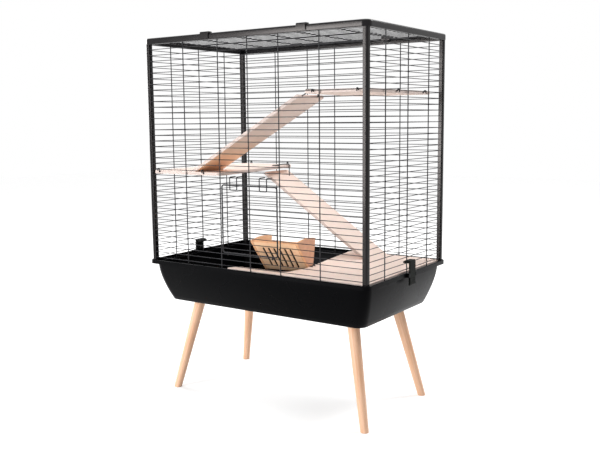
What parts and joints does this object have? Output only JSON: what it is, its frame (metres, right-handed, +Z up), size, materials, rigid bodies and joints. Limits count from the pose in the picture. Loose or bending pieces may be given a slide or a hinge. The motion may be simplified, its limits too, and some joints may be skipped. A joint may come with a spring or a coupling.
{
  "type": "ferret cage",
  "caption": "Tall wire ferret cage on splayed wooden legs, with a deep plastic tray, a hinged front door and roof, shelves, ramps and a slatted hay manger.",
  "frame": {"origin": "on the floor, below the middle of the cage", "axes": "+Z up, front with the door towards -Y, +X to the right as seen from the front"},
  "size_m": [0.792, 0.475, 1.0875],
  "materials": {
    "tray_plastic": "satin moulded black",
    "frame_plastic": "fine satin black",
    "coated_wire": "black powder coat",
    "plated_steel": "zinc plated",
    "leg_wood": "clear satin beech",
    "pale_board": "pale matt board",
    "manger_wood": "warm matt plywood"
  },
  "bodies": {
    "cage": {"tray": "tray_plastic", "tray_feet": "tray_plastic", "leg_front_left": "leg_wood", "leg_front_right": "leg_wood", "leg_back_left": "leg_wood", "leg_back_right": "leg_wood", "leg_collars": "frame_plastic", "leg_bolts": "plated_steel", "leg_washers": "plated_steel", "leg_nuts": "plated_steel", "post_front_left": "frame_plastic", "post_front_right": "frame_plastic", "post_back_left": "frame_plastic", "post_back_right": "frame_plastic", "top_rail_front": "frame_plastic", "top_rail_back": "frame_plastic", "top_rail_left": "frame_plastic", "top_rail_right": "frame_plastic", "corner_front_left": "frame_plastic", "corner_front_right": "frame_plastic", "corner_back_left": "frame_plastic", "corner_back_right": "frame_plastic", "front_panel": "coated_wire", "back_panel": "coated_wire", "left_panel": "coated_wire", "right_panel": "coated_wire", "roof_hinges": "frame_plastic", "base_platform": "pale_board", "mid_shelf": "pale_board", "mid_shelf_hooks": "coated_wire", "upper_shelf": "pale_board", "upper_shelf_hooks": "coated_wire"},
    "front_door": {"door_grid": "coated_wire", "door_hooks": "coated_wire"},
    "roof_lid": {"roof_grid": "coated_wire", "roof_clips": "frame_plastic"},
    "side_clip_left_body": {"side_clip_left": "frame_plastic"},
    "side_clip_right_body": {"side_clip_right": "frame_plastic"},
    "upper_ramp_body": {"upper_ramp": "pale_board", "upper_ramp_hooks": "coated_wire"},
    "lower_ramp_body": {"lower_ramp": "pale_board", "lower_ramp_hooks": "coated_wire"},
    "manger": {"manger_front": "manger_wood", "manger_back": "manger_wood", "manger_left": "manger_wood", "manger_right": "manger_wood", "manger_pegs": "coated_wire"}
  },
  "joints": [
    {"name": "front_door_hinge", "type": "hinge", "parent": "cage", "child": "front_door", "pos_m": [0, -0.2278, 0.4583], "axis": [1, 0, 0], "range_deg": [0, 150]},
    {"name": "roof_lid_hinge", "type": "hinge", "parent": "cage", "child": "roof_lid", "pos_m": [0, 0.2241, 1.0795], "axis": [-1, 0, 0], "range_deg": [0, 100]},
    {"name": "side_clip_left_pin", "type": "hinge", "parent": "cage", "child": "side_clip_left_body", "pos_m": [-0.393, 0, 0.4105], "axis": [0, -1, 0], "range_deg": [0, 20]},
    {"name": "side_clip_right_pin", "type": "hinge", "parent": "cage", "child": "side_clip_right_body", "pos_m": [0.393, 0, 0.4105], "axis": [0, 1, 0], "range_deg": [0, 20]},
    {"name": "upper_ramp_lift", "type": "hinge", "parent": "cage", "child": "upper_ramp_body", "pos_m": [0.19, 0, 0.91855], "axis": [0, 1, 0], "range_deg": [0, 28]},
    {"name": "lower_ramp_lift", "type": "hinge", "parent": "cage", "child": "lower_ramp_body", "pos_m": [-0.178, 0, 0.69255], "axis": [0, -1, 0], "range_deg": [0, 33]},
    {"name": "manger_lift", "type": "slide", "parent": "cage", "child": "manger", "axis": [0, 0, 1], "range_m": [0, 0.1]}
  ]
}
